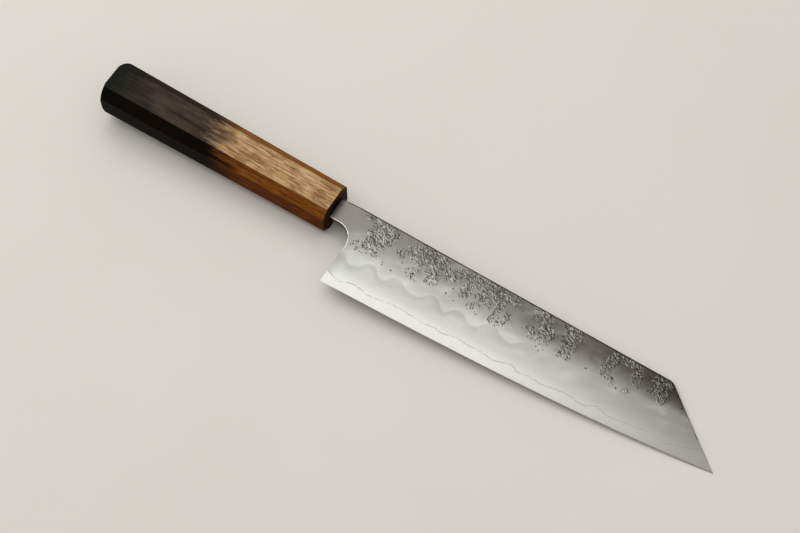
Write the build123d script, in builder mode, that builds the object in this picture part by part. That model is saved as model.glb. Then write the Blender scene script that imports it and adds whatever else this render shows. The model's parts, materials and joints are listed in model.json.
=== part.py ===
from build123d import *
import math
import os

# A kiritsuke kitchen knife: a laminated blade, ground on both sides, in a one-piece octagonal handle.
# Lengths are in millimetres and angles in degrees.
#
# The knife's own axes: X runs along the handle to the point, Y from the cutting edge to the spine,
# and Z out of the right side of the blade. They start at the middle of the handle's front end.
# The knife lies on its left side. It tips forward until the point touches the surface, so these
# axes lean by about two and a half degrees in the part's frame, where Z is straight up.

# Handle
handle_length = 136.0
front_width = 22.0
front_thickness = 20.0
front_bevel = 4.2
butt_width = 25.43
butt_thickness = 22.42
butt_bevel = 5.1
facet_edge_round = 0.6
butt_rim_round = 1.6
butt_corner_round = 3.5
front_rim_round = 0.8

# Round bore down the handle, and the split dowel glued into it
bore_diameter = 13.2
glue_gap = 0.06
dowel_end_gap = 1.0
dowel_uncut_end = 3.0
slot_height = 10.0
slot_thickness = 3.8
slot_end_gap = 3.0
mouth_seal_depth = 3.0

# Tang
tang_length = 88.0
tang_root_height = 9.0
tang_end_height = 5.0
tang_end_thickness = 2.0
tang_end_round = 1.8

# Neck and spine
neck_above_axis = 5.8
neck_below_axis = 5.95
neck_thickness = 3.2
spine_above_axis = 7.0
spine_rise_length = 18.0
shoulder_taper_end = 24.0
heel_spine_thickness = 2.3
point_spine_thickness = 1.44
spine_edge_round = 0.4

# Cutting edge, from heel to point
heel_reach = 14.7
heel_drop = 37.12
blade_run = 209.6
edge_rise = 13.44
edge_rise_shares = ((0.25, 0.135), (0.5, 0.322), (0.75, 0.597))
heel_slope_share = 0.035
point_slope_share = 0.13

# Heel line, rising from the heel to the neck
heel_line_lean = 0.35
choil_round = 9.6
choil_edge_round = 0.8

# Clipped line from the spine down to the point
clip_start = 186.7
clip_bulge = 0.35
clip_corner_round = 5.5
clip_overrun_share = 0.12

# Ground faces: how thick the blade is at heights above the edge
edge_bevel_height = 0.5
edge_bevel_thickness = 0.26
grind_height = 27.0
grind_thickness = 2.2
grind_shares = ((0.148, 0.31), (0.296, 0.46), (0.593, 0.735))
flare_height = 32.0
flare_thickness = 3.6
flare_middle_shares = (0.5, 0.33)

# Laminated steel: a hard core slab, and the line where the cladding stops above the edge
core_thickness = 0.5
cladding_line_height = 5.0
cladding_line_places_share = (
    (-0.03, 1.30), (0.003, 1.22), (0.02, 0.94), (0.045, 0.82), (0.06, 1.06), (0.092, 1.06),
    (0.117, 0.84), (0.15, 1.02), (0.195, 1.14), (0.24, 1.02), (0.27, 0.95), (0.288, 1.06),
    (0.308, 0.92), (0.335, 1.14), (0.375, 1.06), (0.41, 1.02), (0.442, 0.86), (0.47, 1.08),
    (0.494, 1.18), (0.502, 0.95), (0.53, 0.98), (0.56, 0.84), (0.6, 0.98), (0.64, 1.0),
    (0.68, 0.84), (0.695, 1.14), (0.735, 0.84), (0.77, 0.94), (0.8, 1.0), (0.83, 1.08),
    (0.865, 0.8), (0.9, 1.0), (0.93, 1.1), (0.96, 0.95), (1.03, 1.0),
)

# How far the cutting shapes run past what they cut
overrun = 8.0

# How far from square a direction may be and still count as square, as a cosine
square_limit = 0.02

# Worked-out places
tip_reach = heel_reach + blade_run
tip_drop = heel_drop - edge_rise
heel = (heel_reach, -heel_drop)
tip = (tip_reach, -tip_drop)
front_half = front_thickness / 2
butt_half = butt_thickness / 2
half_taper = (butt_half - front_half) / handle_length
edge_half = edge_bevel_thickness / 2
core_half = core_thickness / 2
neck_half = neck_thickness / 2
deep = neck_half + overrun
slot_depth = tang_length + slot_end_gap
dowel_length = slot_depth + dowel_uncut_end
bore_depth = mouth_seal_depth + dowel_length + dowel_end_gap

# The resting lean, through the handle's lower front corner and the point
contact_half = front_half + half_taper * front_rim_round
lean = math.atan2(contact_half - edge_half, tip_reach + front_rim_round)
cos_lean = math.cos(lean)
sin_lean = math.sin(lean)
front_end_x = tip_reach * cos_lean
back_end_x = -handle_length * cos_lean - (butt_half - butt_rim_round) * sin_lean
axis_x = -(front_end_x + back_end_x) / 2
axis_y = (heel_drop - butt_width / 2) / 2
axis_z = contact_half * cos_lean - front_rim_round * sin_lean
knife = Plane(
    origin=(axis_x, axis_y, axis_z),
    x_dir=(cos_lean, 0, -sin_lean),
    z_dir=(sin_lean, 0, cos_lean),
)


def section(reach):
    """A plane square to the knife's X axis, with its own X along the blade's height."""
    return Plane(
        origin=knife.from_local_coords((reach, 0, 0)),
        x_dir=knife.y_dir,
        z_dir=knife.x_dir,
    )


def across_bevels(width, thickness, bevel):
    """The distance between opposite bevels of a rectangle with corners cut at 45 degrees."""
    return (width + thickness - bevel - bevel) / math.sqrt(2)


def handle_outlines(turn, butt_size, front_size):
    """The handle's outline between two opposite facets, with sharp ends and with rounded ends.
    The turn, in radians, goes round the handle's axis, which lies along X here."""
    flat = Plane(origin=(0, 0, 0), x_dir=(1, 0, 0), z_dir=(0, -math.sin(turn), math.cos(turn)))
    with BuildSketch(flat) as outline:
        with BuildLine():
            Polyline(
                (-handle_length, -butt_size / 2),
                (0, -front_size / 2),
                (0, front_size / 2),
                (-handle_length, butt_size / 2),
                close=True,
            )
        make_face()
        sharp = outline.sketch
        fillet(outline.vertices().sort_by(Axis.X)[:2], butt_rim_round)
        fillet(outline.vertices().sort_by(Axis.X)[-2:], front_rim_round)
    return sharp, outline.sketch


# The cutting edge as one curve that runs past the heel and the point
edge_points = [(heel_reach - overrun, -heel_drop - overrun * heel_slope_share), heel]
for run_share, rise_share in edge_rise_shares:
    edge_points.append((heel_reach + blade_run * run_share, edge_rise * rise_share - heel_drop))
edge_points.append(tip)
edge_points.append((tip_reach + overrun, overrun * point_slope_share - tip_drop))
with BuildLine(knife) as edge_path:
    Spline(*edge_points)

# Side view of the blade, neck and tang. Below the edge it runs past, and the grind trims it.
clip_far = (
    clip_start + (tip_reach - clip_start) * (1 + clip_overrun_share),
    spine_above_axis - (tip_drop + spine_above_axis) * (1 + clip_overrun_share),
)
shoulder = -mouth_seal_depth
tang_end = shoulder - tang_length
bottom = -heel_drop - overrun
choil_x = heel_reach + heel_line_lean
with BuildSketch(knife) as side_view:
    with BuildLine():
        Polyline(
            (shoulder, neck_above_axis),
            (shoulder, tang_root_height / 2),
            (tang_end, tang_end_height / 2),
            (tang_end, -tang_end_height / 2),
            (shoulder, -tang_root_height / 2),
            (shoulder, -neck_below_axis),
            (choil_x, -neck_below_axis),
            (heel_reach, -heel_drop),
            (heel_reach, bottom),
            (clip_far[0], bottom),
            clip_far,
        )
        SagittaArc(clip_far, (clip_start, spine_above_axis), clip_bulge)
        spine_line = Line((clip_start, spine_above_axis), (spine_rise_length, spine_above_axis))
        TangentArc(spine_line @ 1, (shoulder, neck_above_axis), tangent=spine_line % 1)
    make_face()
    corners = side_view.vertices()
    fillet(corners.sort_by_distance((choil_x, -neck_below_axis))[0], choil_round)
    fillet(side_view.vertices().sort_by_distance((clip_start, spine_above_axis))[0], clip_corner_round)
    tang_corners = side_view.vertices().sort_by(Axis.X)[:2]
    fillet(tang_corners, tang_end_round)

# Top view of the same: thick at the neck, thinner past the heel, then an even taper to the point
top_plane = Plane(origin=knife.origin, x_dir=knife.x_dir, z_dir=-knife.y_dir)
heel_half = heel_spine_thickness / 2
point_half = point_spine_thickness / 2
taper_run = tip_reach + overrun - shoulder_taper_end
with BuildSketch(top_plane) as top_view:
    with BuildLine():
        Polyline(
            (tang_end - overrun, 0),
            (tang_end - overrun, tang_end_thickness / 2),
            (tang_end, tang_end_thickness / 2),
            (shoulder, neck_half),
        )
        Spline(
            (shoulder, neck_half),
            (shoulder_taper_end, heel_half),
            tangents=((1, 0), (taper_run, point_half - heel_half)),
        )
        Polyline(
            (shoulder_taper_end, heel_half),
            (tip_reach + overrun, point_half),
            (tip_reach + overrun, 0),
            (tang_end - overrun, 0),
        )
    make_face()
    mirror(about=Plane.XZ)

# Everything outside the ground faces, as one notched section that runs along the edge
grind_half = grind_thickness / 2
flare_half = flare_thickness / 2
right_curve = [(edge_bevel_height, edge_half)]
for height_share, half_share in grind_shares:
    right_curve.append((grind_height * height_share, grind_half * half_share))
right_curve.append((grind_height, grind_half))
right_curve.append((
    grind_height + (flare_height - grind_height) * flare_middle_shares[0],
    grind_half + (flare_half - grind_half) * flare_middle_shares[1],
))
right_curve.append((flare_height, flare_half))
left_curve = [(height, -half) for height, half in right_curve]
below_edge = -(edge_rise + overrun + overrun)
edge_start = edge_path.edges()[0]
grind_plane = Plane(
    origin=edge_start @ 0,
    x_dir=knife.z_dir.cross(edge_start % 0),
    z_dir=edge_start % 0,
)
with BuildSketch(grind_plane) as grind_section:
    with BuildLine():
        Spline(*right_curve)
        Line(right_curve[0], (0, 0))
        Line((0, 0), left_curve[0])
        Spline(*left_curve)
        Polyline(
            left_curve[-1],
            (flare_height, -deep),
            (below_edge, -deep),
            (below_edge, deep),
            (flare_height, deep),
            right_curve[-1],
        )
    make_face()


def stands_square(face):
    """True for the narrow walls round the blade's outline."""
    return abs(face.normal_at().dot(knife.z_dir)) < square_limit


def is_rim(edge):
    """True for the long edges of those walls, from the neck forward."""
    spot = knife.to_local_coords(edge @ 0.5)
    upright = abs((edge % 0.5).dot(knife.z_dir)) > 1 - square_limit
    return not upright and spot.X > 0 and spot.Y > -heel_drop


def by_choil(edge):
    """True for rims under the neck, round the choil and down the heel line."""
    spot = knife.to_local_coords(edge @ 0.5)
    return spot.Y < 0 and spot.X < shoulder_taper_end


with BuildPart() as blade_blank:
    extrude(side_view.sketch, amount=deep, both=True)
    extrude(top_view.sketch, amount=heel_drop + overrun + overrun, both=True, mode=Mode.INTERSECT)
    rims = ShapeList()
    for wall in blade_blank.faces().filter_by(stands_square):
        rims += wall.edges().filter_by(is_rim)
    fillet(rims.filter_by(by_choil), choil_edge_round)
    fillet(rims.filter_by(by_choil, reverse=True), spine_edge_round)
    sweep(grind_section.sketch, path=edge_path.wire(), mode=Mode.SUBTRACT)


def above_line(height, places):
    """The region above a cladding line, drawn level with one side of the core slab."""
    edge = edge_path.edges()[0]
    end_share = overrun / edge.length
    points = []
    for run_share, height_share in places:
        place = end_share + run_share * (1 - end_share - end_share)
        rise = knife.z_dir.cross(edge % place) * cladding_line_height * height_share
        spot = knife.to_local_coords(edge @ place + rise)
        points.append((spot.X, spot.Y))
    far_top = spine_above_axis + overrun
    with BuildSketch(knife.offset(height)) as region:
        with BuildLine():
            Spline(*points)
            Polyline(
                points[-1],
                (points[-1][0], far_top),
                (tang_end - overrun, far_top),
                (tang_end - overrun, points[0][1]),
                points[0],
            )
        make_face()
    return region


# Right cladding, the side that faces up
right_region = above_line(core_half, cladding_line_places_share)
with BuildPart() as right_cladding:
    add(blade_blank.part)
    extrude(right_region.sketch, amount=deep, mode=Mode.INTERSECT)

# Left cladding, the side that faces the table. Its line wanders in the opposite order.
turned_places_share = [(1 - run, rise) for run, rise in reversed(cladding_line_places_share)]
left_region = above_line(-core_half, turned_places_share)
with BuildPart() as left_cladding:
    add(blade_blank.part)
    extrude(left_region.sketch, amount=-deep, mode=Mode.INTERSECT)

# Hard core: the slab between the claddings, and the whole blade below their lines
with BuildPart() as core_steel:
    add(blade_blank.part)
    extrude(right_region.sketch, amount=deep, mode=Mode.SUBTRACT)
    extrude(left_region.sketch, amount=-deep, mode=Mode.SUBTRACT)

# The handle's outer shape: a tapered octagon, cut to its four pairs of opposite facets.
# A turned cut rounds the butt's corners further.
butt_across = across_bevels(butt_width, butt_thickness, butt_bevel)
front_across = across_bevels(front_width, front_thickness, front_bevel)
outlines = (
    handle_outlines(0, butt_width, front_width),
    handle_outlines(math.pi / 2, butt_thickness, front_thickness),
    handle_outlines(math.pi / 4, butt_across, front_across),
    handle_outlines(-math.pi / 4, butt_across, front_across),
)
handle_deep = butt_width + butt_thickness
butt_reach = math.hypot(butt_width / 2, butt_half - butt_bevel)
with BuildSketch() as turned_butt:
    with BuildLine():
        Polyline(
            (-handle_length, 0),
            (-handle_length, butt_reach),
            (0, butt_reach),
            (0, 0),
            close=True,
        )
    make_face()
    outer_corner = turned_butt.vertices().sort_by_distance((-handle_length, butt_reach))[0]
    fillet(outer_corner, butt_corner_round)
with BuildPart() as straight_handle:
    extrude(outlines[0][0], amount=handle_deep, both=True)
    for sharp, rounded in outlines[1:]:
        extrude(sharp, amount=handle_deep, both=True, mode=Mode.INTERSECT)
    ends = straight_handle.faces().sort_by(Axis.X)
    long_edges = straight_handle.edges() - ends[0].edges() - ends[-1].edges()
    fillet(long_edges, facet_edge_round)
    for sharp, rounded in outlines:
        extrude(rounded, amount=handle_deep, both=True, mode=Mode.INTERSECT)
    revolve(turned_butt.sketch, axis=Axis.X, mode=Mode.INTERSECT)

# Handle body: that shape on the knife's axis, bored from its front end
with BuildPart() as handle_body:
    with Locations(knife.location):
        add(straight_handle.part)
    with BuildSketch(section(0)):
        Circle(bore_diameter / 2)
    extrude(amount=-bore_depth, mode=Mode.SUBTRACT)

# Split dowel: fills the bore behind the mouth seal, with a slot for the tang
dowel_radius = bore_diameter / 2 - glue_gap
with BuildPart() as slotted_dowel:
    with BuildSketch(section(shoulder)):
        Circle(dowel_radius)
    extrude(amount=-dowel_length)
    with BuildSketch(section(shoulder)):
        Rectangle(slot_height, slot_thickness)
    extrude(amount=-slot_depth, mode=Mode.SUBTRACT)

# Resin that fills the slot round the tang
with BuildPart() as tang_resin:
    with BuildSketch(section(shoulder)):
        Rectangle(slot_height, slot_thickness)
    extrude(amount=-slot_depth)
    add(blade_blank.part, mode=Mode.SUBTRACT)

# Dark seal that fills the bore's mouth round the neck, level with the handle's front end
with BuildPart() as mouth_seal:
    with BuildSketch(section(shoulder)):
        Circle(dowel_radius)
    extrude(amount=mouth_seal_depth)
    add(blade_blank.part, mode=Mode.SUBTRACT)

os.makedirs("parts", exist_ok=True)
core_steel.part.label = "core_steel"
export_step(core_steel.part, "parts/core_steel.step")
right_cladding.part.label = "right_cladding"
export_step(right_cladding.part, "parts/right_cladding.step")
left_cladding.part.label = "left_cladding"
export_step(left_cladding.part, "parts/left_cladding.step")
handle_body.part.label = "handle_body"
export_step(handle_body.part, "parts/handle_body.step")
slotted_dowel.part.label = "slotted_dowel"
export_step(slotted_dowel.part, "parts/slotted_dowel.step")
tang_resin.part.label = "tang_resin"
export_step(tang_resin.part, "parts/tang_resin.step")
mouth_seal.part.label = "mouth_seal"
export_step(mouth_seal.part, "parts/mouth_seal.step")
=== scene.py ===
import json
import math
import random
from functools import partial

import bmesh
import bpy
import numpy as np
from mathutils import Matrix, Vector
from mathutils.bvhtree import BVHTree
from mathutils.geometry import delaunay_2d_cdt
from mathutils.noise import noise as noise_at


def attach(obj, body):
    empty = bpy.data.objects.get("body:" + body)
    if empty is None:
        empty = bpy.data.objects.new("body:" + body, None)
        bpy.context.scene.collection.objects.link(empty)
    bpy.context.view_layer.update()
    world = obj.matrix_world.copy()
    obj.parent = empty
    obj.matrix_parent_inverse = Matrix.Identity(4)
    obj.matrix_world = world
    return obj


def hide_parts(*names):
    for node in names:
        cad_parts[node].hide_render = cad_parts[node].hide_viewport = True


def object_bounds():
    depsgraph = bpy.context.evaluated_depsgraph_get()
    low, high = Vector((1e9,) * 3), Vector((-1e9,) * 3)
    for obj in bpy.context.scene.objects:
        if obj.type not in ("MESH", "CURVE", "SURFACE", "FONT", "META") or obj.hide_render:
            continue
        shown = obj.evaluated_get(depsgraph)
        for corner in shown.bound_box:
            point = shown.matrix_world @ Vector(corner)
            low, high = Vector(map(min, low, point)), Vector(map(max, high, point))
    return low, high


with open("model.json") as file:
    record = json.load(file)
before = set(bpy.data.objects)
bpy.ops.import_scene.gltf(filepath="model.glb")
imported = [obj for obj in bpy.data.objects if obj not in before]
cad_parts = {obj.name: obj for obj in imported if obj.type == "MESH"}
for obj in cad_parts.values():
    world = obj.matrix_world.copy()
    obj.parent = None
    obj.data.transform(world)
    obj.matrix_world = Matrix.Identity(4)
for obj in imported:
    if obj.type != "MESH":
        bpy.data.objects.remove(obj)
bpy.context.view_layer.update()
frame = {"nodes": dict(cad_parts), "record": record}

# The kiritsuke knife in its finishes. The steel core, the handle and the hidden pieces keep their solids.
# Each cladding gets a piece of its own, with the forge pits sunk in it.
#
# Places on the knife are in millimetres on its own axes: x along the handle to the point, y from the
# cutting edge to the spine, and z out of the right side, from the middle of the handle's front end.

MM = 0.001

# The knife's axes, from the grip mount, which lies in the middle of the handle
HANDLE_LENGTH = 136.0
grip = next(m for m in frame["record"]["mounts"] if m["name"] == "handle_grip")
knife_x = -Vector(grip["axis"]).normalized()
knife_y = Vector((0, 1, 0))
knife_z = knife_x.cross(knife_y)
knife_start = Vector(grip["pos_m"]) + knife_x * (HANDLE_LENGTH / 2 * MM)
lean = math.asin(-knife_x.z)

# The cutting edge from heel to point, and the straight line of the spine
EDGE_PLACES = ((14.7, -37.12), (67.1, -35.31), (119.5, -32.79), (171.9, -29.10), (224.3, -23.68))
SPINE = 7.0

# Half the blade's thickness in the hollow grind, by height above the edge
GROUND_HEIGHTS = (0.5, 1.5, 4.5, 9.0, 14.0, 19.0, 24.0, 28.0, 31.0, 32.0)
GROUND_HALVES = (0.13, 0.2017, 0.3641, 0.5476, 0.7491, 0.861, 0.9577, 1.1736, 1.5741, 1.8)

# Half the thickness of the flat steel, which thins along the neck and then tapers to the point
NECK_START = -3.0
NECK_END = 24.0
NECK_HALF = 1.6
HEEL_HALF = 1.15
POINT_REACH = 232.3
POINT_HALF = 0.72
RIDGE_SOFTNESS = 0.02

# The clipped line, from the end of the spine down to the point, and the way square to it into the blade
CLIP_START = (186.7, SPINE)
CLIP_END = (224.3, -23.68)
CLIP_LENGTH = math.dist(CLIP_START, CLIP_END)
CLIP_INWARD = ((CLIP_END[1] - CLIP_START[1]) / CLIP_LENGTH, (CLIP_START[0] - CLIP_END[0]) / CLIP_LENGTH)

# The round between the neck's underside and the heel line
CHOIL_CENTRE = (5.45, -15.55)
CHOIL_ROUND = 9.6

# The cutting edge and the grind's section, as smooth curves through those places
edge_line = np.polynomial.Polynomial.fit(*zip(*EDGE_PLACES), deg=3).convert()
ground = np.polynomial.Polynomial.fit(GROUND_HEIGHTS, GROUND_HALVES, deg=len(GROUND_HEIGHTS) - 1)


def to_knife(point):
    """A point of the frame on the knife's axes, in millimetres."""
    away = (point - knife_start) / MM
    return Vector((away.dot(knife_x), away.dot(knife_y), away.dot(knife_z)))


def from_knife(x, y, z):
    """A place on the knife's axes as a point of the frame."""
    return knife_start + (knife_x * x + knife_y * y + knife_z * z) * MM


def height_above_edge(x, y):
    """Height above the cutting edge, square to it."""
    slope = edge_line.deriv()(x)
    return (y - edge_line(x)) / np.sqrt(1 + slope * slope)


def clip_depth(x, y):
    """How far inside the clipped line a place lies."""
    return (x - CLIP_START[0]) * CLIP_INWARD[0] + (y - CLIP_START[1]) * CLIP_INWARD[1]


def half_thickness(x, y):
    """How far the broad face stands from the blade's middle plane: the flat steel, or the grind where
    that is thinner, with a soft ridge where they meet."""
    share = np.clip((x - NECK_START) / (NECK_END - NECK_START), 0, 1)
    neck = NECK_HALF + (HEEL_HALF - NECK_HALF) * share * share * (3 - 2 * share)
    taper = HEEL_HALF + (POINT_HALF - HEEL_HALF) * (x - NECK_END) / (POINT_REACH - NECK_END)
    flat = np.where(x < NECK_END, neck, taper)
    hollow = ground(np.clip(height_above_edge(x, y), GROUND_HEIGHTS[0], GROUND_HEIGHTS[-1]))
    return flat - RIDGE_SOFTNESS * np.logaddexp(0, (flat - hollow) / RIDGE_SOFTNESS)


# The forge pits. Each patch is x, y, half length, half width, turn in degrees and density. The right
# side's patches and single pits stand where the photograph shows them.
RIGHT_PATCHES = (
    (25.0, 5.0, 9.8, 2.2, 0, 1.1),
    (27.0, -1.5, 6.6, 5.4, 0, 1.3),
    (27.0, -7.5, 5.6, 4.2, 0, 1.0),
    (33.0, 2.2, 4.0, 2.4, 35, 0.8),
    (22.0, -11.4, 6.0, 3.0, 6, 0.42),
    (30.0, -10.6, 3.6, 2.4, 0, 0.5),
    (40.6, -3.4, 2.6, 2.8, -20, 0.6),
    (49.0, -0.6, 6.6, 4.2, -10, 1.1),
    (54.5, 4.0, 9.0, 3.0, 0, 1.1),
    (58.5, 0.6, 5.4, 3.4, -20, 1.1),
    (60.6, -6.6, 4.2, 4.4, 25, 1.2),
    (51.5, -10.0, 3.8, 3.6, 0, 0.45),
    (68.5, -1.0, 4.4, 3.2, -10, 0.7),
    (74.0, 3.2, 5.6, 2.4, 12, 0.9),
    (78.4, -4.5, 2.8, 5.4, 0, 1.3),
    (84.0, 3.2, 10.0, 3.6, 0, 1.2),
    (87.5, -3.6, 3.6, 3.2, 0, 1.2),
    (95.0, -2.6, 4.0, 5.0, 0, 1.1),
    (96.0, 3.4, 5.6, 2.8, -8, 1.0),
    (102.6, 3.8, 2.4, 2.8, 0, 1.0),
    (86.0, -10.2, 4.8, 3.0, 0, 0.5),
    (99.0, -10.4, 5.0, 3.0, 0, 0.42),
    (102.0, -6.0, 2.0, 2.4, 0, 0.5),
    (118.4, 3.4, 6.0, 3.2, 0, 1.1),
    (121.8, -1.4, 5.8, 3.6, -40, 1.4),
    (117.6, -6.6, 5.2, 3.2, -10, 0.6),
    (124.5, -8.5, 2.0, 3.4, 0, 0.35),
    (134.4, 3.4, 5.6, 3.6, 0, 1.2),
    (134.8, -3.2, 4.6, 4.4, 0, 1.3),
    (135.0, -8.8, 4.4, 2.4, 0, 0.55),
    (157.0, 1.6, 3.0, 5.6, -12, 1.1),
    (156.2, -4.6, 2.4, 3.0, 0, 1.2),
    (165.5, 4.7, 6.4, 2.3, 0, 1.1),
    (170.8, -0.4, 2.8, 4.8, 0, 0.9),
    (160.0, -8.4, 3.4, 2.2, -30, 0.6),
    (169.2, -9.4, 2.6, 1.7, 30, 0.6),
    (182.0, 4.0, 6.4, 2.8, 0, 1.0),
    (183.4, -0.8, 4.6, 4.0, -25, 1.4),
    (186.0, -4.8, 2.2, 2.2, 0, 1.1),
)
RIGHT_SINGLES = (
    (35.5, -12.8), (36.0, -14.2), (41.3, -14.4), (48.2, -11.4), (54.2, -13.2), (70.6, -10.7),
    (75.8, -12.1), (72.5, -6.8), (95.0, -12.1), (97.2, -10.2), (102.8, -8.8), (101.9, -6.3),
    (121.9, -11.8), (123.9, -13.2), (147.8, -9.1), (164.9, -10.4), (173.8, -4.6), (178.6, -3.6),
    (196.6, -2.9), (16.9, -12.9), (44.0, -8.0), (58.2, -10.8),
)

# The left side lies on the table in the photograph. Its pits are of the same kind, in places of their own.
LEFT_PATCHES = (
    (22.0, 3.6, 6.5, 3.2, 0, 1.1),
    (34.0, 0.8, 7.5, 4.4, 15, 1.2),
    (30.5, -7.5, 5.0, 3.0, -20, 0.8),
    (52.0, 3.4, 9.0, 3.0, 0, 1.1),
    (60.0, -4.2, 5.5, 3.8, 30, 1.2),
    (73.0, 3.2, 4.5, 3.0, 0, 0.9),
    (82.0, -2.5, 6.5, 4.2, -20, 1.3),
    (98.0, 4.2, 6.0, 2.4, 0, 1.0),
    (104.0, -5.0, 4.5, 3.0, 40, 1.0),
    (121.0, 2.6, 6.0, 3.6, 10, 1.2),
    (128.0, -6.0, 3.6, 2.8, 0, 0.9),
    (146.0, 1.2, 5.0, 4.8, 0, 1.2),
    (160.0, 4.4, 5.5, 2.2, 0, 1.0),
    (168.0, -3.2, 4.0, 3.6, -30, 1.2),
    (181.0, 2.0, 5.0, 3.8, 0, 1.2),
)
LEFT_SINGLES = (
    (19.5, -9.5), (44.5, -9.8), (70.0, -12.0), (92.5, -10.6), (114.0, -9.2), (137.0, -11.5), (190.5, -4.4),
)

# A pit's size is its half width and its stretch is length over width. The turns lean one way, as the
# photograph's pits do. A patch gets its density times CROWDING tries to the square millimetre. They go
# out to STRAY_REACH of its size, and a slow noise and a scatter push its border in and out.
CROWDING = 2.0
STRAY_REACH = 1.3
RAGGED_SCALE = 0.3
RAGGED_SHARE = 0.45
BORDER_SCATTER = 0.2
PIT_SIZES = (0.13, 0.31)
MIDDLE_GROWTH = 1.1
BORDER_LOSS = 0.3
PIT_STRETCH = (1.2, 5.2)
PIT_TURN = (-58, -2)
PIT_STRENGTHS = (0.45, 1)
PIT_DEPTH = 0.1
PIT_SOFTNESS = 0.55

# Patches below full density are sparse. Their pits are larger and rounder.
FULL_DENSITY = 0.8
SPARSE_GROWTH = 1.1
SPARSE_ROUND = 1.6

# Pits that stand alone are large and nearly round
SINGLE_SIZES = (0.32, 0.48)
SINGLE_STRETCH = 1.3

# Raised bright specks beside some of the pits
SPECK_CHANCE = 0.6
SPECK_APART = (1.2, 2.2)
SPECK_SIZES = (0.13, 0.26)
SPECK_STRETCH = (1, 4)
SPECK_STRENGTHS = (0.4, 1)
SPECK_RISE = 0.02
SPECK_SOFTNESS = 0.6

# Two crossing waves make the rims of pits and specks uneven. For each, how fast it runs, in radians per
# millimetre, and how much a mark's own place shifts it. A mark is looked for up to MARK_REACH of its length.
RIM_WOBBLE = 0.16
WOBBLE_ALONG = (9, 3)
WOBBLE_ACROSS = (11, 5)
MARK_REACH = 1.5

# The rough steel round a patch's pits fades out over this width
BORDER_FADE = 2.4

# The cladding's lower border shows as a thin wandering line. It lies between these heights above the
# edge and clear of the clipped line, and near the point it sweeps up to that line through these places.
# It wanders up and down by LINE_WANDER, about once in LINE_WANDER_STEP.
LINE_HEIGHTS = (2.5, 9.5)
LINE_APART = 0.9
LINE_WIDTH = 0.32
LINE_WANDER = 0.9
LINE_WANDER_STEP = 1.3
LINE_SWEEP = (
    (200, -22.7), (203, -21.6), (206, -20.2), (208.5, -19.0), (210, -18.3), (213.5, -16.6), (216, -15.2),
)

# Triangles are small in the pits and along that line, up to a height that rises at the point, and wide
# elsewhere. The small ones go on a little way round a patch and a single pit, and the wide ones keep
# clear of them by a little more. The margins keep both off the face's rim.
FINE_STEP = 0.2
FINE_MARGIN = FINE_STEP * 0.6
FINE_ROUND_PATCH = 1.2
FINE_ROUND_SINGLE = 1.3
COARSE_STEP = 0.75
COARSE_MARGIN = 0.4
CLEAR_OF_PATCH = 1.4
CLEAR_OF_SINGLE = 1.5
LINE_LOW = 2.8
LINE_TOP = ((0, 195, 214), (7.0, 7.0, 9.5))
CLEAR_OF_LINE = 0.2

# A cladding's broad face looks outwards by at least the limit, and lies within the slack of the blade's
# section. A ray that finds it starts this far out.
FACING_LIMIT = 0.9
FACE_SLACK = 0.03
RAY_START = 10

# Corners of the solid this close are one, in metres, and so are places on the face, in millimetres
SAME_CORNER = MM / 1000
SAME_PLACE = 1e-6

# The triangulation's mode that fills the rim and nothing outside it
ONLY_INSIDE = 1

# Edges that turn more than this stay sharp, but not those between the new triangles
SHARP_ANGLE = math.radians(35)

# What each corner carries for the finish
VERTEX_MAPS = ("pit", "speck", "patchy", "clad_line")


def inside_patch(x, y, patch, grow=0.0):
    """How far inside a patch places lie: 1 in its middle, 0 at its border."""
    cx, cy, length, width, turn, _ = patch
    c, s = math.cos(math.radians(turn)), math.sin(math.radians(turn))
    along = ((x - cx) * c + (y - cy) * s) / (length + grow)
    across = ((y - cy) * c - (x - cx) * s) / (width + grow)
    return 1 - np.sqrt(along * along + across * across)


def scatter_pits(patches, singles, draw):
    """The pits and the bright specks, each as x, y, half length, half width, turn and strength."""
    pits, specks = [], []
    for cx, cy, length, width, turn, density in patches:
        count = int(math.pi * length * width * density * CROWDING)
        sparse = max(0, 1 - density / FULL_DENSITY)
        c, s = math.cos(math.radians(turn)), math.sin(math.radians(turn))
        for _ in range(count):
            angle = draw.uniform(0, 2 * math.pi)
            reach = math.sqrt(draw.random()) * STRAY_REACH
            along, across = math.cos(angle) * reach * length, math.sin(angle) * reach * width
            x, y = cx + along * c - across * s, cy + along * s + across * c
            push = noise_at((x * RAGGED_SCALE, y * RAGGED_SCALE, cx)) * RAGGED_SHARE
            if reach + push + draw.uniform(-BORDER_SCATTER, BORDER_SCATTER) > 1:
                continue
            size = draw.uniform(*PIT_SIZES) * (MIDDLE_GROWTH - BORDER_LOSS * reach)
            size *= 1 + SPARSE_GROWTH * sparse
            stretch = 1 + (draw.uniform(*PIT_STRETCH) - 1) * (1 - SPARSE_ROUND * sparse)
            pits.append((x, y, size * stretch, size, draw.uniform(*PIT_TURN), draw.uniform(*PIT_STRENGTHS)))
            if draw.random() < SPECK_CHANCE:
                aside = draw.uniform(0, 2 * math.pi)
                apart = size * draw.uniform(*SPECK_APART)
                speck_size = draw.uniform(*SPECK_SIZES)
                specks.append((
                    x + math.cos(aside) * apart,
                    y + math.sin(aside) * apart,
                    speck_size * draw.uniform(*SPECK_STRETCH),
                    speck_size,
                    draw.uniform(*PIT_TURN),
                    draw.uniform(*SPECK_STRENGTHS),
                ))
    for x, y in singles:
        size = draw.uniform(*SINGLE_SIZES)
        pits.append((x, y, size * SINGLE_STRETCH, size, draw.uniform(*PIT_TURN), 1))
    return pits, specks


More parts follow.
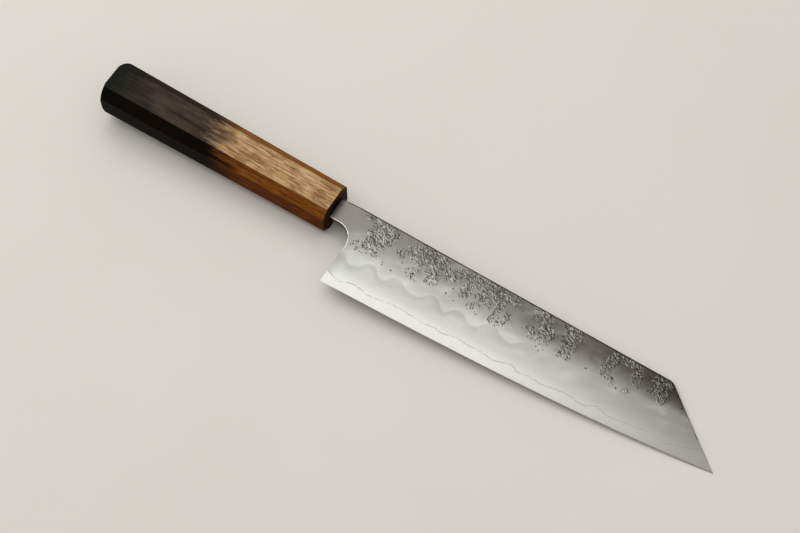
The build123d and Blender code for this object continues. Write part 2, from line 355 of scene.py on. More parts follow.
def mark_strength(x, y, marks, softness):
    """The strongest of some pits or specks at each place. The places come in any order."""
    order = np.argsort(x)
    x, y = x[order], y[order]
    found = np.zeros(len(x))
    for cx, cy, length, width, turn, strength in marks:
        first, last = np.searchsorted(x, (cx - length * MARK_REACH, cx + length * MARK_REACH))
        px, py = x[first:last] - cx, y[first:last] - cy
        c, s = math.cos(math.radians(turn)), math.sin(math.radians(turn))
        far = np.hypot((px * c + py * s) / length, (py * c - px * s) / width)
        wobble = RIM_WOBBLE * np.sin(px * WOBBLE_ALONG[0] + cx * WOBBLE_ALONG[1])
        wobble = wobble + RIM_WOBBLE * np.cos(py * WOBBLE_ACROSS[0] + cy * WOBBLE_ACROSS[1])
        mark = np.clip((1 - far + wobble) / softness, 0, 1) * strength
        found[first:last] = np.maximum(found[first:last], mark * mark * (3 - 2 * mark) / strength)
    strengths = np.zeros(len(x))
    strengths[order] = np.clip(found, 0, 1)
    return strengths


def patch_strength(x, y, patches):
    """How rough the steel is: 1 inside a dense patch, less in a sparse one, and 0 away from both."""
    rough = np.zeros(len(x))
    for patch in patches:
        width, density = patch[3], patch[5]
        inner = np.clip(0.5 + inside_patch(x, y, patch) * width / BORDER_FADE, 0, 1)
        rough = np.maximum(rough, inner * min(1, density / FULL_DENSITY))
    return rough


def line_strength(x, y, rim_places, seed):
    """How strongly the cladding's lower border shows at each place, from the face's rim along it."""
    low = [
        p for p in rim_places
        if LINE_HEIGHTS[0] < height_above_edge(*p) < LINE_HEIGHTS[1] and clip_depth(*p) > LINE_APART
    ]
    low = np.array(sorted(low, key=lambda p: p[0]))
    low_y = np.interp(x, low[:, 0], low[:, 1])
    swept_y = np.interp(x, *zip(*LINE_SWEEP))
    low_y = np.where(x > LINE_SWEEP[0][0], np.maximum(low_y, swept_y), low_y)
    wander = np.array([noise_at((px / LINE_WANDER_STEP, seed, 0)) for px in x])
    low_y += LINE_WANDER * (0.5 + wander)
    return np.clip(1 - np.abs(y - low_y) / LINE_WIDTH, 0, 1)


def near_line(places, grow):
    """True in the band of heights above the edge that the line of the lower border stays in."""
    x, y = places.T
    height = height_above_edge(x, y)
    top = np.interp(x, *LINE_TOP)
    return (height > LINE_LOW - grow) & (height < top + grow)


def near_pits(places, patches, singles, round_patch, round_single):
    """True within a patch grown by a margin, or within a distance of a single pit."""
    x, y = places.T
    near = np.full(len(places), -1.0)
    for patch in patches:
        near = np.maximum(near, inside_patch(x, y, patch, grow=round_patch))
    for cx, cy in singles:
        near = np.maximum(near, 1 - np.hypot(x - cx, y - cy) / round_single)
    return near > 0


def lattice(step, low, high):
    """Places on a triangular lattice between two corners."""
    rows = np.arange(low[1], high[1], step * math.sqrt(3) / 2)
    columns = np.arange(low[0], high[0], step)
    x, y = np.meshgrid(columns, rows)
    x = x + (np.arange(len(rows)) % 2)[:, None] * step / 2
    return np.column_stack((x.ravel(), y.ravel()))


def inner_places(rim_places, patches, singles, over_face):
    """Places for the new corners inside the face: close together in the pits and along the line of the
    lower border, and wide apart elsewhere."""
    low, high = rim_places.min(0), rim_places.max(0)
    fine = lattice(FINE_STEP, low, high)
    fine = fine[near_pits(fine, patches, singles, FINE_ROUND_PATCH, FINE_ROUND_SINGLE) | near_line(fine, 0.0)]
    coarse = lattice(COARSE_STEP, low, high)
    by_pits = near_pits(coarse, patches, singles, CLEAR_OF_PATCH, CLEAR_OF_SINGLE)
    coarse = coarse[~by_pits & ~near_line(coarse, CLEAR_OF_LINE)]
    kept = []
    for places, margin in ((fine, FINE_MARGIN), (coarse, COARSE_MARGIN)):
        steps = ((margin, 0), (-margin, 0), (0, margin), (0, -margin))
        kept += [(x, y) for x, y in places if all(over_face(x + dx, y + dy) for dx, dy in steps)]
    return np.array(kept)


def is_broad(face, side):
    """True for a face of the cladding's outer broad side, from the neck to the point."""
    if face.normal.dot(knife_z) * side < FACING_LIMIT:
        return False
    corners = [to_knife(v.co) for v in face.verts]
    return all(
        p.x > NECK_START - FACE_SLACK and abs(p.z * side - half_thickness(p.x, p.y)) < FACE_SLACK
        for p in corners
    )


def rim_of(face_set):
    """The corners round a set of faces, and the rim's edges as pairs of their numbers."""
    chosen = set(face_set)
    rim = [e for f in face_set for e in f.edges if sum(g in chosen for g in e.link_faces) == 1]
    corners = list(dict.fromkeys(v for e in rim for v in e.verts))
    number = {v: i for i, v in enumerate(corners)}
    return corners, [tuple(number[v] for v in e.verts) for e in rim]


def smooth_faces(bm, new_faces):
    """Smooth faces with sharp edges where the solid turns, but none between the new triangles."""
    bm.normal_update()
    for face in bm.faces:
        face.smooth = True
    for edge in bm.edges:
        between_new = all(face in new_faces for face in edge.link_faces)
        if not between_new and edge.calc_face_angle(0) > SHARP_ANGLE:
            edge.smooth = False


def add_cladding(name, node, bm):
    """The piece that stands in for a cladding's CAD node."""
    mesh = bpy.data.meshes.new(name)
    bm.to_mesh(mesh)
    bm.free()
    piece = bpy.data.objects.new(name, mesh)
    bpy.context.scene.collection.objects.link(piece)
    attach(piece, "root")
    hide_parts(node)
    return piece


def clad_side(name, node, side, patches, singles, seed):
    """A cladding's solid with its broad face made again from small triangles, and its pits sunk in."""
    pits, specks = scatter_pits(patches, singles, random.Random(seed))
    bm = bmesh.new()
    bm.from_mesh(frame["nodes"][node].data)
    bmesh.ops.remove_doubles(bm, verts=bm.verts, dist=SAME_CORNER)
    layers = [bm.verts.layers.float.new(n) for n in VERTEX_MAPS]
    bm.normal_update()

    # Flat triangles over the broad face, inside its rim
    face_set = [f for f in bm.faces if is_broad(f, side)]
    corners, rim_pairs = rim_of(face_set)
    rim_places = np.array([to_knife(v.co)[:2] for v in corners])
    surface = BVHTree.FromPolygons(
        [v.co for v in bm.verts],
        [[v.index for v in f.verts] for f in face_set],
    )

    def over_face(x, y):
        above = from_knife(x, y, side * RAY_START)
        return surface.ray_cast(above, knife_z * -side)[0] is not None

    inner = inner_places(rim_places, patches, singles, over_face)
    places = [Vector(p) for p in np.vstack((rim_places, inner))]
    flat, _, triangles, origins, _, _ = delaunay_2d_cdt(places, rim_pairs, [], ONLY_INSIDE, SAME_PLACE)

    # How far each corner stands from the blade's middle plane, and what it carries for the finish
    x = np.array([p.x for p in flat])
    y = np.array([p.y for p in flat])
    pit = mark_strength(x, y, pits, PIT_SOFTNESS)
    speck = mark_strength(x, y, specks, SPECK_SOFTNESS) * (1 - pit)
    stands = half_thickness(x, y) - PIT_DEPTH * pit + SPECK_RISE * speck
    patchy = patch_strength(x, y, patches)
    line = line_strength(x, y, rim_places, seed)

    # The old faces give way to the triangles. The rim keeps its corners, and all others are new.
    bmesh.ops.delete(bm, geom=face_set, context="FACES")
    made = []
    for i, sources in enumerate(origins):
        old = [s for s in sources if s < len(corners)]
        if old:
            made.append(corners[old[0]])
        else:
            made.append(bm.verts.new(from_knife(x[i], y[i], side * stands[i])))
    for v, values in zip(made, zip(pit, speck, patchy, line)):
        for layer, value in zip(layers, values):
            v[layer] = value
    new_faces = set()
    for triangle in triangles:
        turned = triangle if side > 0 else triangle[::-1]
        new_faces.add(bm.faces.new([made[i] for i in turned]))
    smooth_faces(bm, new_faces)
    return add_cladding(name, node, bm)


def linear(hex_colour):
    """An sRGB hex colour as linear red, green, blue and an alpha of 1."""
    parts = [int(hex_colour[i:i + 2], 16) / 255 for i in (1, 3, 5)]
    return (*(c / 12.92 if c <= 0.04045 else ((c + 0.055) / 1.055) ** 2.4 for c in parts), 1)


def add_node(tree, kind, *inputs, out=None, stops=(), curve=(), **settings):
    """Adds a node and returns its first output, or the one that out names. The inputs go to the sockets
    in use, in order. Of the settings, those named like a socket go to that socket. Stops are the places
    and colours of a ramp, and curve holds the points of a curve."""
    added = tree.nodes.new("ShaderNode" + kind)
    to_sockets = {}
    for name, value in settings.items():
        if name in added.inputs:
            to_sockets[name] = value
        else:
            setattr(added, name, value)
    in_use = [socket for socket in added.inputs if socket.enabled]
    filled = list(zip(in_use, inputs))
    filled += [(added.inputs[name], value) for name, value in to_sockets.items()]
    for socket, value in filled:
        if isinstance(value, bpy.types.NodeSocket):
            tree.links.new(value, socket)
        else:
            socket.default_value = linear(value) if isinstance(value, str) else value
    if stops:
        ramp = added.color_ramp
        ramp.elements.remove(ramp.elements[1])
        ramp.elements[0].position, ramp.elements[0].color = stops[0][0], linear(stops[0][1])
        for place, colour in stops[1:]:
            ramp.elements.new(place).color = linear(colour)
    if curve:
        points = added.mapping.curves[0].points
        points[0].location, points[-1].location = curve[0], curve[-1]
        for place in curve[1:-1]:
            points.new(*place)
        added.mapping.update()
    if out is not None:
        return added.outputs[out]
    return added.outputs[0] if added.outputs else None


def new_finish(name):
    """A new material, and the function that adds nodes to it."""
    finish = bpy.data.materials.new(name)
    finish.use_nodes = True
    finish.node_tree.nodes.clear()
    return finish, partial(add_node, finish.node_tree)


def knife_place(node):
    """The place on the knife's own axes, in millimetres."""
    start = -(knife_start / MM)
    turned = (start.dot(knife_x), start.dot(knife_y), start.dot(knife_z))
    place = node("TexCoord", out="Object")
    return node("Mapping", place, turned, (0, -lean, 0), (1 / MM,) * 3)


def streaks(node, place, length, width, detail=3, rough=0.6, turn=0.0):
    """Cloudy noise between 0 and 1, in lumps of a length along the knife and a width, in millimetres."""
    turned = (0, 0, math.radians(turn))
    spread = node("Mapping", place, vector_type="TEXTURE", Rotation=turned, Scale=(length, width, width))
    return node("TexNoise", spread, 1.0, detail, rough)


def laid_over(node, tint, colour, *shares):
    """A tint with another colour laid over it, by the product of some shares."""
    amount = shares[0]
    for more in shares[1:]:
        amount = node("Math", amount, more, operation="MULTIPLY")
    return node("Mix", amount, tint, colour, data_type="RGBA", out=2)


def edge_distance(node, x, y):
    """Height above the cutting edge in millimetres."""
    c0, c1, c2, c3 = edge_line.coef
    rise = node("Math", x, c3, c2, operation="MULTIPLY_ADD")
    rise = node("Math", x, rise, c1, operation="MULTIPLY_ADD")
    rise = node("Math", x, rise, c0, operation="MULTIPLY_ADD")
    return node("Math", y, rise, operation="SUBTRACT")


def clip_distance(node, x, y):
    """How far inside the clipped line, in millimetres."""
    offset = -(CLIP_START[0] * CLIP_INWARD[0] + CLIP_START[1] * CLIP_INWARD[1])
    depth = node("Math", x, CLIP_INWARD[0], offset, operation="MULTIPLY_ADD")
    return node("Math", y, CLIP_INWARD[1], depth, operation="MULTIPLY_ADD")


def choil_distance(node, x, y):
    """How far in from the neck's underside, the choil and the heel line, in millimetres."""
    ahead = node("Math", x, CHOIL_CENTRE[0], operation="SUBTRACT")
    above = node("Math", y, CHOIL_CENTRE[1], operation="SUBTRACT")
    ahead = node("Math", ahead, 0, operation="MAXIMUM")
    above = node("Math", above, 0, operation="MAXIMUM")
    away = node("VectorMath", node("CombineXYZ", ahead, above), operation="LENGTH", out="Value")
    return node("Math", away, CHOIL_ROUND, operation="SUBTRACT")


# The ground steel's tones by height above the edge, as shares of the blade's height: its own tone with a
# painted reflection, brightest by the edge and darker towards the spine
BLADE_HEIGHT = 44
STEEL_AND_REFLECTION_TONES = (
    (0.06, "#BCBCB7"), (0.14, "#B4B4AF"), (0.22, "#A8A8A3"), (0.34, "#A0A09B"), (0.43, "#9D9D98"),
    (0.55, "#92908D"), (0.68, "#817E7A"), (0.8, "#706D69"), (1.0, "#686561"),
)

# How the painted reflection darkens from the heel's x to the point's, as shares of the way
BLADE_SPAN = (14, 230)
REFLECTION_FADE_TONES = (
    (0.0, "#FFFFFF"), (0.42, "#F9F8F6"), (0.61, "#E7E5E2"), (0.76, "#D3D1CD"), (0.885, "#BDBBB8"),
    (1.0, "#AFADAD"),
)

# The wavy line that the polishing leaves, as x and height above the edge. The band is dark just below
# the line and bright just above it. Each curve says how strong that is, over its reach of distances from
# the line. The band rises to full strength behind the heel and fades out halfway to the point.
WAVE = (
    (14, 19.5), (16.4, 18.2), (18.5, 17.0), (20.2, 15.0), (23.2, 14.3), (26.3, 14.9), (28.5, 16.9),
    (30.6, 19.2), (33.1, 19.4), (35.8, 17.8), (38.5, 15.4), (41.2, 15.4), (43.2, 17.0), (45.1, 18.8),
    (47.6, 18.9), (51.1, 17.5), (54.7, 15.7), (57.9, 15.4), (60.8, 16.4), (63.7, 18.6), (66.3, 19.8),
    (68.9, 19.2), (72.5, 16.1), (75.1, 14.9), (77.5, 17.3), (80.8, 18.9), (83.5, 18.6), (86.0, 17.2),
    (89.0, 15.6), (91.8, 15.8), (94.0, 17.8), (95.9, 19.6), (98.6, 20.7), (101.8, 19.6), (104.1, 17.7),
    (107.4, 16.2), (110.8, 16.1), (113.2, 17.6), (118, 20), (123, 19.5), (126.3, 17.1), (130, 18.5),
    (230, 18),
)
WAVE_TOP = 40
DARK_REACH = (-8, 2)
DARK_CURVE = ((0, 0), (0.3, 0.12), (0.55, 0.5), (0.74, 1), (0.79, 0.9), (0.86, 0.1), (1, 0))
BRIGHT_REACH = (-1, 5)
BRIGHT_CURVE = ((0, 0), (0.18, 0), (0.34, 1), (0.6, 0.4), (1, 0))
WAVE_RISES = (14, 21)
WAVE_FADES = (138, 104)

# A slow noise from -DRIFT to DRIFT in millimetres, in lumps of DRIFT_SIZE. The wavy band drifts by a
# quarter of it, and the border of the dark steel by more than all of it.
DRIFT = 1.2
DRIFT_SIZE = 8.3
BAND_DRIFT = 0.25
DARK_DRIFT = 1.6

# Where the choil's round turns into the upright heel line, as y
HEEL_LINE_TOP = (-8, -10.5)


def fade_reflection_to_point(node, x, tint):
    """The steel darkens and greys from the heel to the point, as a painted falloff of the reflection."""
    fade = node("ValToRGB", node("MapRange", x, *BLADE_SPAN), stops=REFLECTION_FADE_TONES)
    return node("Mix", 1.0, tint, fade, data_type="RGBA", blend_type="MULTIPLY", out=2)


def wavy_band(node, x, height, drift, tint):
    """The soft band that the polishing leaves: dark below the wavy line and bright above it."""
    first, last = BLADE_SPAN
    curve = [((px - first) / (last - first), ph / WAVE_TOP) for px, ph in WAVE]
    wave = node("FloatCurve", Value=node("MapRange", x, first, last), curve=curve)
    over = node("Math", wave, -WAVE_TOP, height, operation="MULTIPLY_ADD")
    over = node("Math", drift, BAND_DRIFT, over, operation="MULTIPLY_ADD")
    below = node("FloatCurve", Value=node("MapRange", over, *DARK_REACH), curve=DARK_CURVE)
    above = node("FloatCurve", Value=node("MapRange", over, *BRIGHT_REACH), curve=BRIGHT_CURVE)
    to_point = node("MapRange", x, *WAVE_FADES)
    from_heel = node("MapRange", x, *WAVE_RISES, 0.3, 1)
    fading = node("Math", to_point, from_heel, operation="MULTIPLY")
    tint = laid_over(node, tint, "#71706C", below, fading, 0.27)
    return laid_over(node, tint, "#B6B6B2", above, fading, 0.18)


def stone_haze(node, place, height, tint):
    """Clouds of the polishing stones, about 17 by 7 mm, clear of the bright strip by the edge."""
    haze = streaks(node, place, 17, 7, detail=2, rough=0.5, turn=20)
    clear_of_edge = node("MapRange", height, 8, 15)
    tint = laid_over(node, tint, "#77746F", node("MapRange", haze, 0.5, 0.7), clear_of_edge, 0.26)
    return laid_over(node, tint, "#C6C5C1", node("MapRange", haze, 0.48, 0.3), clear_of_edge, 0.18)


def dark_by_spine(node, place, x, height, drift, tint):
    """Steel left dark from the forge: smoky clouds 6 mm across above the grind, a dark band along the
    spine that grows towards the point, and a darker corner at the clipped line. The neck is plain."""
    clouds = node("MapRange", streaks(node, place, 6.2, 6.2, detail=4), 0.5, 0.7)
    above_grind = node("MapRange", height, 19, 30)
    past_neck = node("MapRange", x, 18, 34)
    tint = laid_over(node, tint, "#4A4643", clouds, above_grind, past_neck, 0.45)
    shade = node("Math", drift, DARK_DRIFT, height, operation="MULTIPLY_ADD")
    band = node("MapRange", shade, 20.5, 30)
    tint = laid_over(node, tint, "#312B25", band, node("MapRange", x, 60, 205))
    corner = node("MapRange", shade, 20.5, 26.5)
    tint = laid_over(node, tint, "#2E2923", corner, node("MapRange", x, 166, 192), 0.7)
    return laid_over(node, tint, "#706D66", node("MapRange", x, 20, 8))


def pitted(node, place, x, pit, tint):
    """The patches: streaked steel, bright specks and black pits. Also the relief of the streaks."""
    speck = node("Attribute", attribute_name="speck", out="Fac")
    patchy = node("Attribute", attribute_name="patchy", out="Fac")
    strokes = streaks(node, place, 2.3, 0.8, detail=4, rough=0.65, turn=-32)
    border = node("Math", streaks(node, place, 2, 2), 1.3, patchy, operation="MULTIPLY_ADD")
    inside = node("MapRange", border, 1.05, 1.3)
    pale_share = node("MapRange", x, 120, 190, 0.62, 0.5)
    pit_share = node("MapRange", patchy, 0.6, 1, 0.86, 0.68)
    tint = laid_over(node, tint, "#45423F", inside, node("MapRange", strokes, 0.48, 0.38), 0.45)
    tint = laid_over(node, tint, "#B4B2AD", inside, node("MapRange", strokes, 0.52, 0.62), pale_share)
    tint = laid_over(node, tint, "#C0BEBA", speck, inside, 0.62)
    tint = laid_over(node, tint, "#2E2A26", pit, pit_share)
    return tint, node("Math", inside, strokes, operation="MULTIPLY")


def border_line(node, place, x, tint):
    """The line of the cladding's lower border, broken in places and fainter towards the point."""
    line = node("Attribute", attribute_name="clad_line", out="Fac")
    broken = node("MapRange", streaks(node, place, 4.5, 4.5, detail=2), 0.36, 0.52, 0.35, 1)
    return laid_over(node, tint, "#5A5955", line, broken, node("MapRange", x, 130, 200, 0.78, 0.42))


def dark_skin(node, x, y, tint):
    """The dark skin on the rounded edges of the spine and the clipped line."""
    by_spine = node("MapRange", y, SPINE - 1.05, SPINE - 0.4)
    by_clip = node("MapRange", clip_distance(node, x, y), 0.65, 0.1)
    skin = node("Math", by_spine, by_clip, operation="MAXIMUM")
    return laid_over(node, tint, "#1C1613", skin, 0.93)


def choil_painted_highlight_and_shade(node, x, y, tint):
    """The choil's rounded rim with a painted highlight where it turns away from the broad face, and painted
    shade on the dark wall under it. Down the heel line the rim is told by its distance, and it fades out."""
    facing = node("Math", node("SeparateXYZ", node("TexCoord", out="Normal"), out="Z"), operation="ABSOLUTE")
    distance = choil_distance(node, x, y)
    by_choil = node("MapRange", distance, 0.8, 0.62)
    on_heel_line = node("MapRange", y, *HEEL_LINE_TOP, 0, 0.7)
    heel_rim = node("Math", node("MapRange", distance, 0.5, 0.2), on_heel_line, operation="MULTIPLY")
    rim = node("Math", node("MapRange", facing, 0.982, 0.96), heel_rim, operation="MAXIMUM")
    # A painted highlight on the rim
    tint = laid_over(node, tint, "#E6E4E0", by_choil, rim, node("MapRange", y, -20, -12))
    # Painted shade on the wall under the rim
    steeper = node("MapRange", y, *HEEL_LINE_TOP, 0, 0.42)
    wall = node("MapRange", node("Math", facing, steeper, operation="ADD"), 0.86, 0.74)
    return laid_over(node, tint, "#1E1815", by_choil, wall, 0.9)


def forged_cladding():
    """Soft iron cladding, ground and stone-polished to a haze, with black forge pits left near the spine.
    The eye sees a soft satin grey, a cloudy band that ends in a wavy line, and dark rough pits with
    bright lips. The pits' real streaks are finer than they show, and are drawn 0.8 mm wide."""
    finish, node = new_finish("forged_iron_cladding_satin_polish")
    place = knife_place(node)
    x, y = node("SeparateXYZ", place).node.outputs[:2]
    height = edge_distance(node, x, y)
    slow = streaks(node, place, DRIFT_SIZE, DRIFT_SIZE)
    drift = node("Math", slow, 2 * DRIFT, -DRIFT, operation="MULTIPLY_ADD")
    pit = node("Attribute", attribute_name="pit", out="Fac")

    # The steel's tone by height above the edge, with a painted reflection brightest by the edge
    tint = node("ValToRGB", node("MapRange", height, 0, BLADE_HEIGHT), stops=STEEL_AND_REFLECTION_TONES)
    tint = wavy_band(node, x, height, drift, tint)
    # A painted falloff of the reflection towards the point
    tint = fade_reflection_to_point(node, x, tint)
    tint = stone_haze(node, place, height, tint)
    tint = dark_by_spine(node, place, x, height, drift, tint)
    tint, relief = pitted(node, place, x, pit, tint)
    tint = border_line(node, place, x, tint)
    tint = dark_skin(node, x, y, tint)
    tint = choil_painted_highlight_and_shade(node, x, y, tint)

    rough = node("Math", pit, 0.3, 0.34, operation="MULTIPLY_ADD")
    bump = node("Bump", Strength=0.7, Distance=0.2 * MM, Height=relief)
    steel = node("BsdfPrincipled", tint, Metallic=1.0, Roughness=rough, Normal=bump)
    node("OutputMaterial", steel)
    return finish


def hard_core():
    """High-carbon core steel, ground on fine stones. The eye sees a bright, even strip along the edge.
    Round the outline, above the claddings' line, it has the same dark skin as they have, and on the choil's
    wall that dark is painted shade. The polish clouds it 3 mm across. The stones' scratches are hundredths of
    a millimetre wide, too fine to show, and are drawn 0.45 mm wide."""
    finish, node = new_finish("high_carbon_core_steel_stone_ground")
    place = knife_place(node)
    x, y = node("SeparateXYZ", place).node.outputs[:2]
    haze = streaks(node, place, 3.3, 3.3, detail=4)
    scratches = streaks(node, place, 0.45, 0.45, detail=4, rough=0.7)
    above_line = node("MapRange", edge_distance(node, x, y), 6.8, 7.4)

    tint = node("Mix", haze, "#B0AFAA", "#BAB9B5", data_type="RGBA", out=2)
    # A painted falloff of the reflection towards the point
    tint = fade_reflection_to_point(node, x, tint)
    # Dark round the outline above the claddings' line; on the choil's wall this is painted shade
    tint = laid_over(node, tint, "#2A2420", above_line, 0.85)

    rough = node("Math", scratches, 0.16, 0.24, operation="MULTIPLY_ADD")
    bump = node("Bump", Strength=0.2, Distance=0.02 * MM, Height=scratches)
    steel = node("BsdfPrincipled", tint, Metallic=1.0, Roughness=rough, Normal=bump)
    node("OutputMaterial", steel)
    return finish


# The oak's tones by its grain: the top facet with a painted sheen, the darker bevels beside it, the facets
# that face down painted darker as shade, and the charcoal on the top facet
TOP_SHEEN_TONES = ((0.3, "#9A754C"), (0.45, "#B08C5E"), (0.58, "#BD9A70"), (0.72, "#CBAF8A"))
BEVEL_TONES = ((0.32, "#50290E"), (0.46, "#6F3F14"), (0.6, "#7E4B1B"), (0.75, "#8A5622"))
SHADED_LOWER_TONES = ((0.32, "#421B03"), (0.5, "#602E06"), (0.7, "#743E0E"))
CHARCOAL_TONES = ((0.38, "#28211C"), (0.48, "#392F28"), (0.58, "#463A31"), (0.66, "#50443A"))

# Where the burn turns from black to charcoal, and from charcoal to plain oak. Both are places along the
# knife once a noise of up to BURN_RAGGED is added, which makes the borders run out along the grain.
BLACK_ENDS = (-108, -88)
BURN_ENDS = (-41, -23)
BURN_RAGGED = 44

# How much less far the burn reaches on the top facet and on the spine's side, and how deep the short
# pores break into its end, in millimetres
SHORTER_ON_TOP = 8
SHORTER_BY_SPINE = 9
PORES_BREAK_IN = 11


def top_oak_painted_sheen(node, grain, rings, blots, dashes, short_pores):
    """The top facet, painted pale as its sheen. Its rings show as thin contour lines."""
    contours = node("Math", node("Math", rings, 10, operation="MULTIPLY"), 1, operation="PINGPONG")
    contours = node("MapRange", contours, 0.26, 0.03)
    tint = node("ValToRGB", grain, stops=TOP_SHEEN_TONES)
    tint = laid_over(node, tint, "#6E4C2E", contours, node("MapRange", blots, 0.38, 0.5), 0.68)
    tint = laid_over(node, tint, "#76583C", node("MapRange", blots, 0.52, 0.6), 0.5)
    tint = laid_over(node, tint, "#D2B690", node("MapRange", blots, 0.45, 0.36), 0.45)
    tint = laid_over(node, tint, "#583818", dashes, 0.78)
    return laid_over(node, tint, "#3E240F", node("MapRange", short_pores, 0.62, 0.67), 0.5)


def side_oak_painted_shade(node, grain, dashes, short_pores, spine_side, facing_up):
    """The other facets, painted darker than the top facet: warmer and lighter on the spine's side as painted
    light, and darkest where they face down as painted shade.
    """
    tint = node("ValToRGB", grain, stops=BEVEL_TONES)
    # Painted light on the spine's side
    tint = laid_over(node, tint, "#96682E", spine_side, 0.25)
    # Painted shade on the facets that face down
    lower = node("ValToRGB", grain, stops=SHADED_LOWER_TONES)
    tint = laid_over(node, lower, tint, facing_up)
    tint = laid_over(node, tint, "#36190A", dashes, 0.4)
    return laid_over(node, tint, "#2A1206", node("MapRange", short_pores, 0.57, 0.66), 0.5)


def burnt(node, place, x, blots, short_pores, spine_side, on_top, tint):
    """The burn over the plain oak: black at the butt, then charcoal with soot in streaks 3 cm long,
    and a ragged end in tongues of 14 by 2 mm."""
    soot = streaks(node, place, 34, 1.5, detail=5, rough=0.62)
    charcoal = node("ValToRGB", node("Mix", 0.5, soot, blots), stops=CHARCOAL_TONES)
    # The charcoal is painted warmer on the spine's side as painted light, and the charcoal and the black are
    # greyer on the top facet as its painted sheen
    side_charcoal = laid_over(node, "#0F0905", "#24160A", spine_side)
    charcoal = laid_over(node, side_charcoal, charcoal, on_top)
    black = laid_over(node, "#0C0A07", "#1C1D19", on_top)
    tongues = streaks(node, place, 14, 2, detail=4, rough=0.7)
    ragged = node("Math", tongues, BURN_RAGGED, x, operation="MULTIPLY_ADD")
    burn = laid_over(node, black, charcoal, node("MapRange", ragged, *BLACK_ENDS))
    end = node("Math", on_top, SHORTER_ON_TOP, ragged, operation="MULTIPLY_ADD")
    end = node("Math", spine_side, SHORTER_BY_SPINE, end, operation="MULTIPLY_ADD")
    end = node("Math", short_pores, PORES_BREAK_IN, end, operation="MULTIPLY_ADD")
    return laid_over(node, burn, tint, node("MapRange", end, *BURN_ENDS))


def burnt_oak():
    """Oak, scorched black at the butt, and lacquered. The eye sees open brown grain that darkens
    to charcoal, with a low satin sheen. The top facet is painted paler than the bevels beside it as its
    sheen. The IOR starts from a lacquer's 1.5 and comes down to match the photograph, where the dark facets
    mirror nothing."""
    finish, node = new_finish("scorched_oak_lacquered_painted_sheen")
    place = knife_place(node)
    x = node("SeparateXYZ", place, out="X")
    ahead, aside, up = node("SeparateXYZ", node("TexCoord", out="Normal")).node.outputs
    on_top = node("MapRange", up, 0.8, 0.97)
    facing_up = node("MapRange", up, 0.2, 0.6)
    spine_side = node("Math", node("MapRange", aside, 0.3, 0.6), facing_up, operation="MULTIPLY")

    # Oak's grain is 1 to 2 mm wide and runs for a centimetre or so, and its growth rings are 2 to 4 mm
    # wide. Its pores are 0.3 mm wide, too fine to show, and are drawn 0.45 mm wide, and 0.62 mm wide
    # where they run on as long dark dashes.
    grain = streaks(node, place, 9, 1.25, detail=5)
    rings = streaks(node, place, 24, 3.4, detail=2, rough=0.5)
    blots = streaks(node, place, 12, 5, rough=0.55)
    short_pores = streaks(node, place, 4.2, 0.45)
    dashes = node("MapRange", streaks(node, place, 15, 0.62, rough=0.5), 0.58, 0.615)

    top_with_sheen = top_oak_painted_sheen(node, grain, rings, blots, dashes, short_pores)
    sides = side_oak_painted_shade(node, grain, dashes, short_pores, spine_side, facing_up)
    # Painted sheen: the top facet paler than the other facets
    tint = laid_over(node, sides, top_with_sheen, on_top)
    tint = burnt(node, place, x, blots, short_pores, spine_side, on_top, tint)
    # The front end's grain, darker as end grain is, and darker still as painted shade
    shaded_end_grain = node("Mix", grain, "#1E0B05", "#3E180A", data_type="RGBA", out=2)
    tint = laid_over(node, tint, shaded_end_grain, node("MapRange", ahead, 0.5, 0.85))
    bump = node("Bump", Strength=0.4, Distance=0.1 * MM, Height=grain)
    wood = node("BsdfPrincipled", tint, Roughness=0.5, IOR=1.08, Normal=bump)
    node("OutputMaterial", wood)
    return finish


def hidden_finish(name, low, high, ior=1.5):
    """The finish of a piece inside the handle: fibres or flow marks along it, in two tones. Real ones
    are 0.3 mm wide or less, too fine to show, and are drawn 0.8 mm wide."""
    finish, node = new_finish(name)
    marks = streaks(node, knife_place(node), 12.5, 0.8, detail=5)
    tint = node("Mix", marks, low, high, data_type="RGBA", out=2)
    bump = node("Bump", Strength=0.3, Distance=0.05 * MM, Height=marks)
    body = node("BsdfPrincipled", tint, Roughness=0.6, IOR=ior, Normal=bump)
    node("OutputMaterial", body)
    return finish


def dress(piece, finish):
    """Gives a piece its one finish."""
    piece.data.materials.clear()
    piece.data.materials.append(finish)


def dress_node(name, finish):
    """Puts a finish in a CAD node's own slots, and leaves its mesh as it is."""
    piece = frame["nodes"][name]
    for place in piece.material_slots:
        place.link = "OBJECT"
        place.material = finish


cladding = forged_cladding()
right = clad_side("right_cladding_forged", "right_cladding", 1, RIGHT_PATCHES, RIGHT_SINGLES, seed=11)
left = clad_side("left_cladding_forged", "left_cladding", -1, LEFT_PATCHES, LEFT_SINGLES, seed=23)
dress(right, cladding)
dress(left, cladding)
dress_node("core_steel", hard_core())
dress_node("handle_body", burnt_oak())

# A beech dowel, turned: pale, with fine flecks along it
dress_node("slotted_dowel", hidden_finish("beech_dowel_turned", "#A9834F", "#C8A878"))

# Epoxy resin, cast: smoky brown, with flow marks
dress_node("tang_resin", hidden_finish("epoxy_resin_cast", "#3A3228", "#4E4436"))

# Dark filled resin, smoothed level round the neck: near black, and so dull that its IOR comes down
# to 1.05
dress_node("mouth_seal", hidden_finish("filled_resin_seal_smoothed", "#0A0706", "#15100D", ior=1.05))

# The photograph's viewpoint, found from the knife's outline in it. The distance, the point aimed at and
# the sensor are in millimetres, and the focal length and the photograph's width are in pixels.
LOOK_DOWN = math.radians(64.075)
LOOK_TURN = math.radians(31.988)
CAMERA_AWAY = 900.805
AIM = (43.821, -9.909)
FOCAL_PIXELS = 1836.368
PHOTO_WIDTH = 800
SENSOR_WIDTH = 36.0

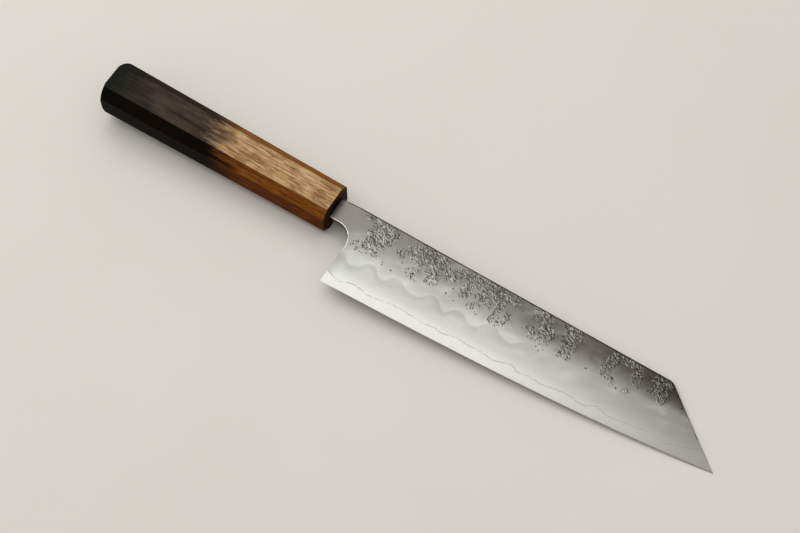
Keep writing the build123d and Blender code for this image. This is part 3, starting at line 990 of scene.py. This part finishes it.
# The lamp's place and size in metres and its power in watts, and the strength of the white world
SOFTBOX_PLACE = (-0.5, 0.2, 1.3)
SOFTBOX_SIZE = 1.8
SOFTBOX_POWER = 15
WORLD_WHITE = (1, 1, 1, 1)
WORLD_STRENGTH = 0.5

# Half the floor's side in metres, and the gap that keeps the knife's faces clear of it. The paint's
# mottle is in clouds 11 cm across.
FLOOR_HALF = 3.0
FLOOR_GAP = 0.02 * MM
MOTTLES_PER_METRE = 9.0


def place_camera():
    """Sets the camera where the photograph was taken from."""
    right_way = knife_x * math.cos(LOOK_TURN) + knife_y * math.sin(LOOK_TURN)
    level = knife_z.cross(right_way)
    ahead = level * math.cos(LOOK_DOWN) - knife_z * math.sin(LOOK_DOWN)
    up = right_way.cross(ahead)
    lens = bpy.data.cameras.new("camera")
    lens.sensor_width = SENSOR_WIDTH
    lens.lens = FOCAL_PIXELS / PHOTO_WIDTH * SENSOR_WIDTH
    camera = bpy.data.objects.new("camera", lens)
    bpy.context.scene.collection.objects.link(camera)
    camera.matrix_world = Matrix((
        (right_way.x, up.x, -ahead.x, 0),
        (right_way.y, up.y, -ahead.y, 0),
        (right_way.z, up.z, -ahead.z, 0),
        (0, 0, 0, 1),
    ))
    camera.location = from_knife(*AIM, 0) - ahead * CAMERA_AWAY * MM
    bpy.context.scene.camera = camera


def hang_softbox():
    """Hangs a square soft lamp over the knife and turns it to the knife's middle."""
    lamp = bpy.data.lights.new("ceiling_softbox", "AREA")
    lamp.size = SOFTBOX_SIZE
    lamp.energy = SOFTBOX_POWER
    softbox = bpy.data.objects.new("ceiling_softbox", lamp)
    softbox.location = SOFTBOX_PLACE
    softbox.rotation_euler = (-Vector(SOFTBOX_PLACE)).to_track_quat("-Z", "Y").to_euler()
    bpy.context.scene.collection.objects.link(softbox)


def light_world():
    """A plain white world that lights the knife from all sides."""
    world = bpy.data.worlds.new("studio")
    bpy.context.scene.world = world
    world.use_nodes = True
    background = world.node_tree.nodes["Background"]
    background.inputs["Color"].default_value = WORLD_WHITE
    background.inputs["Strength"].default_value = WORLD_STRENGTH


def make_floor():
    """A plain pale floor under the knife: painted board, with a faint mottle in the paint."""
    finish, node = new_finish("painted_board_floor")
    mottle = node("TexNoise", node("TexCoord", out="Object"), MOTTLES_PER_METRE, 3, 0.5)
    tint = node("Mix", mottle, "#D9D4CA", "#DFDAD1", data_type="RGBA", out=2)
    paint = node("BsdfPrincipled", tint, Roughness=0.8)
    node("OutputMaterial", paint)
    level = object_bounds()[0].z - FLOOR_GAP
    corners = [(x * FLOOR_HALF, y * FLOOR_HALF, level) for x, y in ((-1, -1), (1, -1), (1, 1), (-1, 1))]
    mesh = bpy.data.meshes.new("floor")
    mesh.from_pydata(corners, [], [(0, 1, 2, 3)])
    mesh.materials.append(finish)
    floor = bpy.data.objects.new("floor", mesh)
    bpy.context.scene.collection.objects.link(floor)


place_camera()
make_floor()
hang_softbox()
light_world()
bpy.context.scene.view_settings.view_transform = "Standard"
